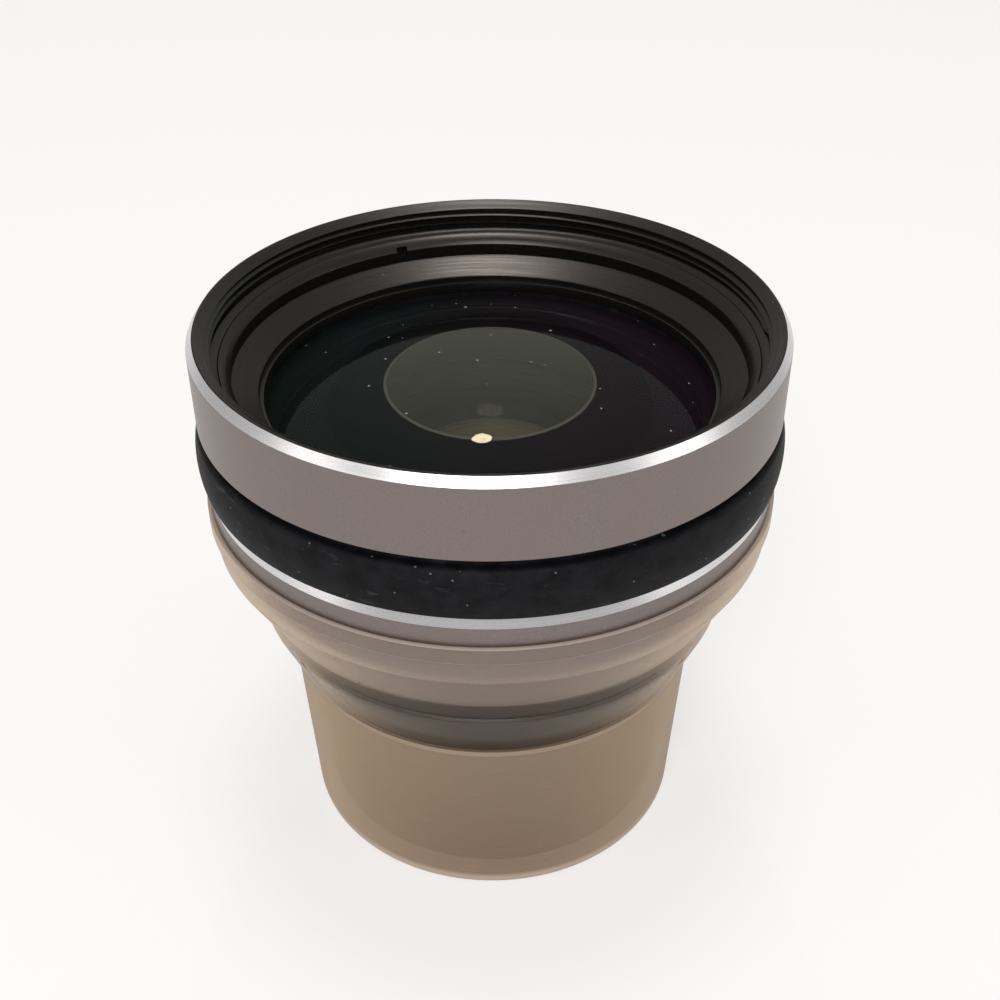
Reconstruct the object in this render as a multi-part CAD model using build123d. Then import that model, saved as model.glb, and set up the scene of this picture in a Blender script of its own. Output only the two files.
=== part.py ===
from build123d import *
import os
from math import sqrt

# Wide-angle conversion lens, standing rear end down in its screw-on cap.
# Millimetres. +Z runs along the lens axis towards the front glass.
# The origin is the middle of the cap's base, and profiles are (radius, height).

# Clearances between pieces
slip = 0.05             # radial, between turned pieces that fit in each other
seat = 0.02             # axial, between faces that rest on each other
cap_play = 0.25         # radial, mount shoulder in the cap's mouth
run_past = 1.0          # cut bodies run this far past the face they open into

# The two standard threads set every radius; walls and steps are added to them
thread_radius = 18.5            # 37 mm rear thread
filter_thread_radius = 25.6     # 52 mm filter thread, crests of the female turns

# Rear cap
cap_height = 19.1
cap_taper = 1.2         # radius lost from the mouth down to the base
cap_ledge_width = 1.45  # from the thread out to the wider mouth
cap_mouth_wall = 0.7
cap_mouth_depth = 0.9
cap_base_wall = 1.45
cap_floor = 1.3
cap_base_round = 0.6
cap_thread_relief = 0.6
cap_inner_round = 1.0

# Rear mount ring with its male thread
thread_length = 5.5
thread_lead_in = 0.4
thread_wall = 2.2
shoulder_length = 0.7
mount_cone_height = 6.8
mount_edge = 0.25
mount_ledge = 6.9       # from the thread's end up to the ledge that stops the rear cell

# Rear cell and the cemented pair in it; the cell is as wide as the thread
flange_thickness = 2.2
flange_width = 2.5      # from the spigot out to the flange's edge
flange_inset = 0.3      # the flange is this much smaller in radius than the ring below it
cell_wall = 2.45
spigot_wall = 1.95
spigot_height = 2.6
crown_front_radius = 45.0
cement_radius = 42.0
flint_rear_radius = 180.0
crown_edge_thickness = 1.1
flint_thickness = 1.6
doublet_lip = 0.85      # radial overlap of the seat on the glass
lip_thickness = 1.4
cell_flare = 1.3
rear_ring_width = 1.0
rear_ring_height = 1.5
spanner_slot_width = 1.2
spanner_slot_depth = 0.7
stop_thickness = 0.2
stop_overlap = 0.4      # the stop plate reaches this far inside the cell's lip

# Screws
screw_radius = 0.6
screw_head_radius = 1.1
screw_head_height = 0.6
screw_length = 4.4
screw_count = 3
cell_screw_angle = 90.0
lock_screw_angle = 30.0
lock_screw_length = 2.1
lock_screw_height = 2.5  # above the grip's lower edge
socket_depth = 0.7
socket_radius = 0.35

# Main barrel
barrel_overhang = 0.75  # past the flange below it
barrel_cone_height = 5.9
cone_inset = 0.2        # the cone starts this far inside the shoulder's lower edge
shoulder_height = 3.75
shoulder_step = 0.35    # from the narrow face out to the shoulder
shoulder_slope_height = 1.5
shoulder_slope_width = 0.35
groove_depth = 0.15
groove_drop = 1.75      # from the shoulder's top edge to the groove
ledge_height = 0.15
face_step = 0.35        # from the sleeve out to the foot of the bright edge
face_height = 2.0
bright_edge_height = 1.3
bright_edge_width = 0.6
sleeve_wall = 0.85
barrel_ledge = 1.3      # from the front cell in to the barrel's bore
bore_cone_height = 5.9

# Rubber grip
grip_height = 5.0
grip_wall = 1.3         # at its upper and lower edges
grip_crown = 0.4        # the middle stands this much further out
grip_lip_height = 0.85
grip_lip_wall = 0.5
grip_round_top = 0.45
grip_round_bottom = 0.25

# Name ring
name_wall = 1.35
name_taper = 0.05       # radius lost from the top down
name_edge_height = 0.8
name_edge_width = 0.6
name_overlap = 4.8      # length of the ring on the barrel's sleeve
name_low_edge = 0.15

# Front cell, with the rim and the filter thread
rim_height = 3.05       # from the sleeve's end to the rim
rim_lip_height = 1.5
rim_land = 0.15
rim_slope_drop = 0.65
rim_thread_edge = 0.15  # the rim's slope ends this far outside the filter thread
rim_stand = 0.05        # the rim stands this far above the name ring
filter_thread_length = 1.9
ring_bore_step = 0.6    # from the filter thread in to the bore of the rings
bore_edge_drop = 0.45
front_cell_wall = 0.3
front_cell_lip = 0.9
glass_bore_step = 1.95  # from the bore of the rings in to the bore of the glass
front_seat_width = 1.7  # radial seat of the glass on the cell's lip

# Front glass
front_curve = 62.0
rear_curve = 21.0
front_centre_thickness = 2.2
front_edge_thickness = 3.6
front_shim_thickness = 0.3
front_shim_width = 1.6

# Rings in front of the glass
cushion_width = 1.2
cushion_inset = 0.3     # from the glass edge
cushion_height = 0.62   # at its inner side
glass_ring_height = 1.0
glass_ring_width = 3.75
cone_ring_height = 1.93
cone_ring_width = 3.35
cone_inner_height = 0.55
cone_ring_land = 0.95   # flat top outside the cone
spanner_ring_height = 2.05
spanner_ring_width = 0.95
spanner_slope_drop = 0.5
spanner_edge_drop = 0.4
spanner_edge_width = 0.35
notch_width = 1.15
notch_depth = 1.0
notch_reach = 0.6
notch_angle = 113.0

# Inner light baffle
baffle_flange = 1.0
baffle_wall = 1.0
baffle_steps = 5
baffle_step_reach = 0.35


def sag(radius, reach):
    # depth of a spherical surface at a distance from the axis
    return radius - sqrt(radius**2 - reach**2)


# Radii, worked out from the rear thread outwards
mouth_bore_radius = thread_radius + slip + cap_ledge_width
cap_mouth_radius = mouth_bore_radius + cap_mouth_wall
cap_base_radius = cap_mouth_radius - cap_taper
mount_shoulder_radius = mouth_bore_radius - cap_play
mount_bore_radius = thread_radius - thread_wall
cell_radius = thread_radius
doublet_radius = cell_radius - cell_wall - slip
lip_radius = doublet_radius - doublet_lip
spigot_radius = cell_radius + spigot_wall
flange_radius = spigot_radius + flange_width
mount_top_radius = flange_radius + flange_inset
barrel_end_radius = flange_radius + barrel_overhang
cell_screw_circle = (spigot_radius + flange_radius) / 2

# Radii, worked out from the filter thread inwards, then outwards
ring_bore_radius = filter_thread_radius - ring_bore_step
ring_radius = ring_bore_radius - slip
cone_outer_radius = ring_radius - cone_ring_land
cone_inner_radius = ring_radius - cone_ring_width
glass_bore_radius = ring_bore_radius - glass_bore_step
front_glass_radius = glass_bore_radius - slip
front_lip_radius = front_glass_radius - front_seat_width
cushion_outer_radius = front_glass_radius - cushion_inset
cushion_inner_radius = cushion_outer_radius - cushion_width
front_cell_radius = ring_bore_radius + front_cell_wall
barrel_bore_radius = front_cell_radius - barrel_ledge
sleeve_bore_radius = front_cell_radius + slip
sleeve_radius = sleeve_bore_radius + sleeve_wall
name_bore_radius = sleeve_radius + slip
name_radius_top = name_bore_radius + name_wall
name_radius_bottom = name_radius_top - name_taper
rim_radius = name_radius_top - name_edge_width - slip
grip_bore_radius = sleeve_radius + slip
grip_edge_radius = grip_bore_radius + grip_wall
face_radius = sleeve_radius + face_step + bright_edge_width
shoulder_radius = face_radius + shoulder_step
shoulder_low_radius = shoulder_radius - groove_depth - shoulder_slope_width

# Heights, worked out from the cap upwards
mount_seat_z = cap_height - cap_mouth_depth + seat
thread_end_z = mount_seat_z - thread_length
mount_cone_z = mount_seat_z + shoulder_length
mount_top_z = mount_cone_z + mount_cone_height + mount_edge
mount_ledge_z = thread_end_z + mount_ledge

flange_z = mount_top_z + seat
flange_top_z = flange_z + flange_thickness
barrel_z = flange_top_z + seat
cell_top_z = barrel_z + spigot_height
cell_end_z = mount_ledge_z + seat

rear_ring_z = cell_end_z + seat
flint_edge_z = rear_ring_z + rear_ring_height + seat
flint_vertex_z = flint_edge_z - sag(flint_rear_radius, doublet_radius)
cement_vertex_z = flint_vertex_z + flint_thickness
cement_edge_z = cement_vertex_z + sag(cement_radius, doublet_radius)
crown_edge_z = cement_edge_z + crown_edge_thickness
crown_vertex_z = crown_edge_z + sag(crown_front_radius, doublet_radius)

shoulder_z = barrel_z + barrel_cone_height
ledge_z = shoulder_z + shoulder_height
face_z = ledge_z + ledge_height
bright_edge_z = face_z + face_height
grip_z = bright_edge_z + bright_edge_height
grip_top_z = grip_z + grip_height
grip_lip_z = grip_top_z + grip_lip_height
name_z = grip_lip_z + seat
sleeve_top_z = name_z + name_overlap

head_z = sleeve_top_z + seat
rim_z = head_z + rim_height
head_step_z = rim_z - rim_lip_height
name_top_z = rim_z - rim_stand

# Heights in front of the glass, worked out from the rim downwards
filter_thread_top_z = rim_z - rim_slope_drop
filter_thread_end_z = filter_thread_top_z - filter_thread_length
ring_seat_z = filter_thread_end_z - bore_edge_drop
spanner_ring_z = ring_seat_z - spanner_ring_height
cone_ring_z = spanner_ring_z - seat - cone_ring_height
glass_ring_z = cone_ring_z - seat - glass_ring_height
cushion_top_z = glass_ring_z - seat
glass_contact_z = cushion_top_z - cushion_height
crown_z = glass_contact_z - seat + sag(front_curve, cushion_inner_radius)
glass_edge_z = crown_z - sag(front_curve, front_glass_radius)
glass_rear_z = glass_edge_z - front_edge_thickness
glass_vertex_z = crown_z - front_centre_thickness
hollow_depth = glass_vertex_z - glass_rear_z
hollow_radius = sqrt(rear_curve**2 - (rear_curve - hollow_depth)**2)
shim_z = glass_rear_z - seat - front_shim_thickness
glass_seat_z = shim_z - seat
front_cell_z = glass_seat_z - front_cell_lip
inner_shoulder_z = front_cell_z - seat
lock_screw_z = grip_z + lock_screw_height

baffle_z = cell_top_z + stop_thickness + 2 * seat
baffle_top_z = inner_shoulder_z
baffle_foot_radius = lip_radius + cell_flare
baffle_mouth_radius = front_lip_radius


def turned(points, rounds=()):
    # closed profile of (radius, height) points, with some corners rounded, turned about Z
    face = make_face(Polyline(*points, close=True))
    for corner, radius in rounds:
        face = fillet(face.vertices().sort_by_distance((*corner, 0))[0], radius)
    return revolve(Plane.XZ * face, Axis.Z)


def dome(vertex_z, radius, reach, sense):
    # arc of a lens surface from the axis out to its edge; sense is -1 where the edge is lower
    half = reach / 2
    return ThreePointArc(
        (0, vertex_z),
        (half, vertex_z + sense * sag(radius, half)),
        (reach, vertex_z + sense * sag(radius, reach)),
    )


def turned_lens(*edges):
    return revolve(Plane.XZ * make_face(Curve() + list(edges)), Axis.Z)


def rear_cap():
    mouth_ledge_z = cap_height - cap_mouth_depth
    bore = thread_radius + slip
    inner = cap_base_radius - cap_base_wall
    relief_z = thread_end_z - cap_thread_relief
    return turned(
        [
            (0, 0),
            (cap_base_radius, 0),
            (cap_mouth_radius, cap_height),
            (mouth_bore_radius, cap_height),
            (mouth_bore_radius, mouth_ledge_z),
            (bore, mouth_ledge_z),
            (bore, relief_z),
            (inner, relief_z - cap_thread_relief),
            (inner, cap_floor),
            (0, cap_floor),
        ],
        [((cap_base_radius, 0), cap_base_round), ((inner, cap_floor), cap_inner_round)],
    )


def rear_mount_ring():
    bore = cell_radius + slip
    return turned([
        (mount_bore_radius, thread_end_z),
        (thread_radius - thread_lead_in, thread_end_z),
        (thread_radius, thread_end_z + thread_lead_in),
        (thread_radius, mount_seat_z),
        (mount_shoulder_radius, mount_seat_z),
        (mount_shoulder_radius, mount_cone_z),
        (mount_top_radius, mount_top_z - mount_edge),
        (mount_top_radius - mount_edge, mount_top_z),
        (bore, mount_top_z),
        (bore, mount_ledge_z),
        (mount_bore_radius, mount_ledge_z),
    ])


def screw_places(first_angle, place):
    # the same place, repeated evenly around the axis
    step = 360 / screw_count
    return [Rot(0, 0, first_angle + step * i) * place for i in range(screw_count)]


def cell_screw_places():
    return screw_places(cell_screw_angle, Pos(cell_screw_circle, 0, flange_z))


def lock_screw_places():
    # radial places, outer end of each screw just under the grip
    return screw_places(lock_screw_angle, Pos(sleeve_radius - slip, 0, lock_screw_z) * Rot(0, -90, 0))


def cell_screw():
    # countersunk screw, head down, flush with the flange's lower face
    head = turned([
        (0, 0), (screw_head_radius, 0), (screw_radius, screw_head_height),
        (screw_radius, screw_length), (0, screw_length),
    ])
    slot = Box(2 * screw_head_radius, screw_radius / 2, screw_head_height)
    return head - slot


def cell_screw_hole():
    bore = screw_radius + slip
    return turned([
        (0, 0), (screw_head_radius + slip, 0), (bore, screw_head_height),
        (bore, screw_length + slip), (0, screw_length + slip),
    ])


def cell_screws():
    body = cell_screw()
    return Compound([place * body for place in cell_screw_places()])


def rear_cell():
    bore = doublet_radius + slip
    under_lip_z = crown_vertex_z - sag(crown_front_radius, lip_radius) + seat
    body = turned([
        (bore, cell_end_z),
        (cell_radius, cell_end_z),
        (cell_radius, flange_z),
        (flange_radius, flange_z),
        (flange_radius, flange_top_z),
        (spigot_radius, flange_top_z),
        (spigot_radius, cell_top_z),
        (lip_radius + cell_flare, cell_top_z),
        (lip_radius, under_lip_z + lip_thickness),
        (lip_radius, under_lip_z),
        (bore, crown_edge_z + seat),
    ])
    for place in cell_screw_places():
        body -= place * cell_screw_hole()
    return body


def crown_element():
    return turned_lens(
        dome(crown_vertex_z, crown_front_radius, doublet_radius, -1),
        Line((doublet_radius, crown_edge_z), (doublet_radius, cement_edge_z)),
        dome(cement_vertex_z, cement_radius, doublet_radius, 1),
        Line((0, cement_vertex_z), (0, crown_vertex_z)),
    )


def flint_element():
    return turned_lens(
        dome(cement_vertex_z, cement_radius, doublet_radius, 1),
        Line((doublet_radius, cement_edge_z), (doublet_radius, flint_edge_z)),
        dome(flint_vertex_z, flint_rear_radius, doublet_radius, 1),
        Line((0, flint_vertex_z), (0, cement_vertex_z)),
    )


def rear_retaining_ring():
    # its top follows the rear surface of the glass
    inner = doublet_radius - rear_ring_width
    inner_top_z = flint_vertex_z + sag(flint_rear_radius, inner) - seat
    body = turned([
        (inner, rear_ring_z), (doublet_radius, rear_ring_z),
        (doublet_radius, rear_ring_z + rear_ring_height), (inner, inner_top_z),
    ])
    slot = Box(2 * doublet_radius + run_past, spanner_slot_width, 2 * spanner_slot_depth)
    return body - Pos(0, 0, rear_ring_z) * slot


def stop_plate():
    low = cell_top_z + seat
    return turned([
        (lip_radius - stop_overlap, low), (spigot_radius - slip, low),
        (spigot_radius - slip, low + stop_thickness), (lip_radius - stop_overlap, low + stop_thickness),
    ])


def inner_baffle():
    # a cone that opens towards the front glass, with ledges inside against stray light
    steps = []
    rise = (baffle_top_z - baffle_z) / baffle_steps
    widen = (baffle_mouth_radius - baffle_foot_radius) / baffle_steps
    for i in range(baffle_steps):
        low_radius = baffle_foot_radius + widen * i
        top = baffle_z + rise * (i + 1)
        steps.append((low_radius, top - rise))
        steps.append((low_radius + widen - baffle_step_reach, top))
    flange_z_low = baffle_top_z - baffle_flange
    outline = [
        (baffle_foot_radius + baffle_wall, baffle_z),
        (baffle_mouth_radius + baffle_wall, flange_z_low),
        (barrel_bore_radius - slip, flange_z_low),
        (barrel_bore_radius - slip, baffle_top_z),
    ]
    return turned(outline + steps[::-1])


def main_barrel():
    groove_z = ledge_z - groove_drop
    body = turned([
        (spigot_radius + slip, barrel_z),
        (barrel_end_radius, barrel_z),
        (shoulder_low_radius - cone_inset, shoulder_z - cone_inset),
        (shoulder_low_radius, shoulder_z),
        (shoulder_radius - groove_depth, shoulder_z + shoulder_slope_height),
        (shoulder_radius - groove_depth, groove_z),
        (shoulder_radius, groove_z),
        (shoulder_radius, ledge_z),
        (face_radius, face_z),
        (face_radius, bright_edge_z),
        (face_radius - bright_edge_width, grip_z),
        (sleeve_radius, grip_z),
        (sleeve_radius, sleeve_top_z),
        (sleeve_bore_radius, sleeve_top_z),
        (sleeve_bore_radius, inner_shoulder_z),
        (barrel_bore_radius, inner_shoulder_z),
        (barrel_bore_radius, baffle_z + bore_cone_height),
        (spigot_radius + slip, baffle_z),
    ])
    for place in cell_screw_places():
        body -= place * cell_screw_hole()
    for place in lock_screw_places():
        body -= place * lock_screw_hole()
    return body


def lock_screw_hole():
    length = run_past + lock_screw_length + slip
    hole = Cylinder(screw_radius + slip, length, align=(Align.CENTER, Align.CENTER, Align.MIN))
    return Pos(0, 0, -run_past) * hole


def lock_screws():
    body = Cylinder(screw_radius, lock_screw_length, align=(Align.CENTER, Align.CENTER, Align.MIN))
    socket = extrude(RegularPolygon(socket_radius, 6), socket_depth)
    return Compound([place * (body - socket) for place in lock_screw_places()])


def grip_ring():
    # crowned outside, with rounded edges and a thinner lip under the name ring
    inner = grip_bore_radius
    edge = grip_edge_radius
    lip = inner + grip_lip_wall
    low = grip_z + seat
    crown = ThreePointArc((edge, low), (edge + grip_crown, (low + grip_top_z) / 2), (edge, grip_top_z))
    back = Polyline(
        (edge, grip_top_z), (lip, grip_top_z), (lip, grip_lip_z), (inner, grip_lip_z), (inner, low), (edge, low),
    )
    face = make_face(Curve() + [crown, back])
    for corner, radius in (((edge, low), grip_round_bottom), ((edge, grip_top_z), grip_round_top)):
        face = fillet(face.vertices().sort_by_distance((*corner, 0))[0], radius)
    return revolve(Plane.XZ * face, Axis.Z)


def name_ring():
    counterbore = rim_radius + slip
    return turned([
        (name_bore_radius, name_z),
        (name_radius_bottom - name_low_edge, name_z),
        (name_radius_bottom, name_z + name_low_edge),
        (name_radius_top, name_top_z - name_edge_height),
        (counterbore + seat, name_top_z),
        (counterbore, name_top_z),
        (counterbore, head_step_z - seat),
        (name_bore_radius, head_step_z - seat),
    ])


def front_cell():
    body = turned([
        (front_lip_radius, front_cell_z),
        (front_cell_radius, front_cell_z),
        (front_cell_radius, head_z),
        (sleeve_radius, head_z),
        (sleeve_radius, head_step_z),
        (rim_radius, head_step_z),
        (rim_radius, rim_z),
        (rim_radius - rim_land, rim_z),
        (filter_thread_radius + rim_thread_edge, filter_thread_top_z),
        (filter_thread_radius, filter_thread_top_z - slip),
        (filter_thread_radius, filter_thread_end_z),
        (ring_bore_radius, ring_seat_z),
        (ring_bore_radius, glass_ring_z - seat),
        (glass_bore_radius, glass_ring_z - seat),
        (glass_bore_radius, glass_seat_z),
        (front_lip_radius, glass_seat_z),
    ])
    for place in lock_screw_places():
        body -= place * lock_screw_hole()
    return body


def front_shim():
    outer = front_glass_radius - slip
    top = shim_z + front_shim_thickness
    return turned([
        (outer - front_shim_width, shim_z), (outer, shim_z), (outer, top), (outer - front_shim_width, top),
    ])


def front_element():
    return turned_lens(
        dome(crown_z, front_curve, front_glass_radius, -1),
        Line((front_glass_radius, glass_edge_z), (front_glass_radius, glass_rear_z)),
        Line((front_glass_radius, glass_rear_z), (hollow_radius, glass_rear_z)),
        dome(glass_vertex_z, rear_curve, hollow_radius, -1),
        Line((0, glass_vertex_z), (0, crown_z)),
    )


def cushion_ring():
    outer_z = crown_z - sag(front_curve, cushion_outer_radius) + seat
    return turned([
        (cushion_inner_radius, glass_contact_z), (cushion_outer_radius, outer_z),
        (cushion_outer_radius, cushion_top_z), (cushion_inner_radius, cushion_top_z),
    ])


def glass_retaining_ring():
    inner = ring_radius - glass_ring_width
    top = glass_ring_z + glass_ring_height
    return turned([(inner, glass_ring_z), (ring_radius, glass_ring_z), (ring_radius, top), (inner, top)])


def cone_ring():
    return turned([
        (cone_inner_radius, cone_ring_z),
        (ring_radius, cone_ring_z),
        (ring_radius, cone_ring_z + cone_ring_height),
        (cone_outer_radius, cone_ring_z + cone_ring_height),
        (cone_inner_radius, cone_ring_z + cone_inner_height),
    ])


def spanner_ring():
    inner = ring_radius - spanner_ring_width
    top = spanner_ring_z + spanner_ring_height
    edge_z = top - spanner_slope_drop
    body = turned([
        (inner, spanner_ring_z),
        (ring_radius, spanner_ring_z),
        (ring_radius, top),
        (inner + spanner_edge_width, edge_z),
        (inner, edge_z - spanner_edge_drop),
    ])
    notch = Box(notch_reach + inner, notch_width, notch_depth, align=(Align.MIN, Align.CENTER, Align.MAX))
    for angle in (notch_angle, notch_angle + 180):
        body -= Rot(0, 0, angle) * Pos(0, 0, edge_z) * notch
    return body


pieces = {
    "rear_cap": rear_cap,
    "rear_mount_ring": rear_mount_ring,
    "rear_cell": rear_cell,
    "cell_screws": cell_screws,
    "crown_element": crown_element,
    "flint_element": flint_element,
    "rear_retaining_ring": rear_retaining_ring,
    "stop_plate": stop_plate,
    "inner_baffle": inner_baffle,
    "main_barrel": main_barrel,
    "lock_screws": lock_screws,
    "grip_ring": grip_ring,
    "name_ring": name_ring,
    "front_cell": front_cell,
    "front_shim": front_shim,
    "front_element": front_element,
    "cushion_ring": cushion_ring,
    "glass_retaining_ring": glass_retaining_ring,
    "cone_ring": cone_ring,
    "spanner_ring": spanner_ring,
}

os.makedirs("parts", exist_ok=True)
for name, make in pieces.items():
    export_step(make(), f"parts/{name}.step")
print(f"{len(pieces)} pieces, rim at {rim_z:.2f}, glass crown at {crown_z:.2f}")
print(f"thread end {thread_end_z:.2f}, ledge {mount_ledge_z:.2f}, barrel {barrel_z:.2f}")
print(f"grip {grip_z:.2f} to {grip_lip_z:.2f}, front cell foot {front_cell_z:.2f}")
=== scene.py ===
from math import hypot, pi, radians, sqrt

import bpy
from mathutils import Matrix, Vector


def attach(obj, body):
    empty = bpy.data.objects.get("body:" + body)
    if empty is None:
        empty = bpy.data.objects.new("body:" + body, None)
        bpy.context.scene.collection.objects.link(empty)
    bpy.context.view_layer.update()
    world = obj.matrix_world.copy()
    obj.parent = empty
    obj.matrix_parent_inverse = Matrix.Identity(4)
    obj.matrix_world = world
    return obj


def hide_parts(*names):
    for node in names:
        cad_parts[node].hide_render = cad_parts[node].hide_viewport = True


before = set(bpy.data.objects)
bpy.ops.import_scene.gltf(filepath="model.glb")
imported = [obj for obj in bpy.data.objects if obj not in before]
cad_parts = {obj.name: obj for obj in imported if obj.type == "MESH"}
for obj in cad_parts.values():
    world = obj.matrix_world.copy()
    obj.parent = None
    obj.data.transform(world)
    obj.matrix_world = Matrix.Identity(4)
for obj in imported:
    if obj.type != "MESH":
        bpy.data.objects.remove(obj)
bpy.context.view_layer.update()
mm = 0.001
bpy.context.tool_settings.mesh_select_mode = (True, False, False)
print("frame loaded:", len(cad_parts), "nodes")

# camera, at the photograph's viewing angle
cameraSettings = {
    "place": (0.891, -115.603, 113.734),
    "pitchDown": 34.514,
    "roll": -0.246,
    "fieldOfView": 39.31,
    "clip": (0.005, 50),
}


def addCamera(settings):
    bpy.ops.object.camera_add(
        location=[value * mm for value in settings["place"]],
        rotation=(radians(90 - settings["pitchDown"]), 0, 0),
    )
    camera = bpy.context.object
    camera.name = "photoCamera"
    camera.rotation_euler.rotate_axis("Z", radians(settings["roll"]))
    camera.data.angle = radians(settings["fieldOfView"])
    camera.data.clip_start, camera.data.clip_end = settings["clip"]
    bpy.context.scene.camera = camera


addCamera(cameraSettings)
print("camera placed")


# modelling helpers

def deselectAll():
    if bpy.context.object and bpy.context.object.mode != "OBJECT":
        bpy.ops.object.mode_set(mode="OBJECT")
    bpy.ops.object.select_all(action="DESELECT")


def pickOnly(piece):
    deselectAll()
    piece.select_set(True)
    bpy.context.view_layer.objects.active = piece


def turnPiece(name, profile, steps=240, onAxis=False):
    # a circle is pulled from point to point of a (radius, height) profile, and its ends are joined
    deselectAll()
    radius, height = profile[0]
    bpy.ops.mesh.primitive_circle_add(
        vertices=steps, radius=radius * mm, location=(0, 0, height * mm)
    )
    piece = bpy.context.object
    piece.name = piece.data.name = name
    bpy.ops.object.transform_apply(location=True, rotation=True, scale=True)
    bpy.ops.object.mode_set(mode="EDIT")
    bpy.ops.mesh.select_all(action="SELECT")
    for nextRadius, nextHeight in profile[1:]:
        bpy.ops.mesh.extrude_edges_move(
            TRANSFORM_OT_translate={"value": (0, 0, (nextHeight - height) * mm)}
        )
        factor = nextRadius / radius
        if abs(factor - 1) > 1e-6:
            bpy.ops.transform.resize(
                value=(factor, factor, 1), center_override=(0, 0, nextHeight * mm)
            )
        radius, height = nextRadius, nextHeight
    bpy.ops.mesh.select_all(action="DESELECT")
    bpy.ops.mesh.select_non_manifold()
    if onAxis:
        bpy.ops.mesh.merge(type="COLLAPSE")
    else:
        bpy.ops.mesh.bridge_edge_loops()
    bpy.ops.object.mode_set(mode="OBJECT")
    return piece


def selectRing(piece, radius, height, near=0.004):
    # the ring of points at this radius and height, left selected in edit mode
    pickOnly(piece)
    for part in (piece.data.polygons, piece.data.edges):
        part.foreach_set("select", [False] * len(part))
    for vertex in piece.data.vertices:
        x, y, z = vertex.co
        atRadius = abs(hypot(x, y) - radius * mm) < near * mm
        vertex.select = atRadius and abs(z - height * mm) < near * mm
    bpy.ops.object.mode_set(mode="EDIT")


def roundRings(piece, rings):
    # each ring is (radius, height, width of the rounding, segments)
    for radius, height, width, segments in rings:
        selectRing(piece, radius, height)
        bpy.ops.mesh.bevel(
            offset=width * mm, offset_type="OFFSET", segments=segments, affect="EDGES"
        )
        bpy.ops.object.mode_set(mode="OBJECT")


def threadRidge(name, settings):
    # one tooth of the thread, drawn as a small outline and wound up with a Screw modifier
    deselectAll()
    root, crest = settings["root"], settings["crest"]
    half, flat = settings["baseWidth"] / 2, settings["crestWidth"] / 2
    bpy.ops.mesh.primitive_plane_add(size=1)
    ridge = bpy.context.object
    ridge.name = ridge.data.name = name
    outline = [(root, -half), (crest, -flat), (root, half), (crest, flat)]
    for vertex, (radius, height) in zip(ridge.data.vertices, outline):
        vertex.co = (radius * mm, 0, (settings["low"] + height) * mm)
    bpy.ops.object.mode_set(mode="EDIT")
    bpy.ops.mesh.select_all(action="SELECT")
    bpy.ops.mesh.delete(type="ONLY_FACE")
    bpy.ops.object.mode_set(mode="OBJECT")
    winding = ridge.modifiers.new("winding", "SCREW")
    winding.axis = "Z"
    winding.angle = 2 * pi * settings["turns"]
    winding.screw_offset = settings["pitch"] * settings["turns"] * mm
    winding.steps = winding.render_steps = int(settings["stepsPerTurn"] * settings["turns"])
    winding.use_smooth_shade = True
    bpy.ops.object.modifier_apply(modifier="winding")
    bpy.ops.object.mode_set(mode="EDIT")
    bpy.ops.mesh.select_all(action="DESELECT")
    bpy.ops.mesh.select_non_manifold()
    bpy.ops.mesh.merge(type="COLLAPSE")
    bpy.ops.mesh.select_all(action="SELECT")
    bpy.ops.mesh.normals_make_consistent(inside=False)
    bpy.ops.object.mode_set(mode="OBJECT")
    return ridge


def joinPieces(piece, *others):
    pickOnly(piece)
    for other in others:
        other.select_set(True)
    bpy.ops.object.join()


def finishPiece(piece, body, slot, material, *nodes, smoothAngle=32):
    pickOnly(piece)
    bpy.ops.object.mode_set(mode="EDIT")
    bpy.ops.mesh.select_all(action="SELECT")
    bpy.ops.mesh.remove_doubles(threshold=1e-7)
    bpy.ops.mesh.normals_make_consistent(inside=False)
    bpy.ops.object.mode_set(mode="OBJECT")
    bpy.ops.object.shade_smooth_by_angle(angle=radians(smoothAngle))
    weighting = piece.modifiers.new("weighting", "WEIGHTED_NORMAL")
    weighting.keep_sharp = True
    bpy.ops.object.modifier_apply(modifier="weighting")
    piece.data.materials.clear()
    piece.data.materials.append(material)
    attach(piece, body)
    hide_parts(*nodes)
    return piece


def giveFaces(piece, finish, heights, radii=(0, 100), upward=(-2, 2), inward=False):
    # faces whose middle lies in this band of heights and radii take a second material;
    # upward limits how far they face up, from -1 to 1, and inward keeps those facing the axis
    piece.data.materials.append(finishes[finish])
    index = len(piece.data.materials) - 1
    for face in piece.data.polygons:
        x, y, z = face.center
        fits = heights[0] * mm < z < heights[1] * mm
        fits = fits and radii[0] * mm < hypot(x, y) < radii[1] * mm
        fits = fits and upward[0] < face.normal.z < upward[1]
        if inward:
            fits = fits and x * face.normal.x + y * face.normal.y < 0
        if fits:
            face.material_index = index


def sag(curve, reach):
    return curve - sqrt(curve ** 2 - reach ** 2)


def domePoints(vertexHeight, curve, start, end, count, sense):
    # points along a lens surface; sense is -1 where the edge lies lower than the middle
    points = []
    for i in range(count + 1):
        reach = start + (end - start) * i / count
        points.append((reach, vertexHeight + sense * sag(curve, reach)))
    return points


# material helpers

noiseSpan = (0.3, 0.7)  # most of a noise texture lies between these values


def newMaterial(name):
    material = bpy.data.materials.new(name)
    material.use_nodes = True
    tree = material.node_tree
    tree.nodes.clear()
    out = tree.nodes.new("ShaderNodeOutputMaterial")
    return material, tree, out


def addNode(tree, kind, settings=None, **inputs):
    # inputs are named after their sockets, or in0, in1 and so on after their place
    node = tree.nodes.new(kind)
    for key, value in (settings or {}).items():
        setattr(node, key, value)
    for key, value in inputs.items():
        if key.startswith("in"):
            socket = node.inputs[int(key[2:])]
        else:
            socket = node.inputs[key.replace("_", " ")]
        if hasattr(value, "is_output"):
            tree.links.new(value, socket)
        else:
            socket.default_value = value
    return node


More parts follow.
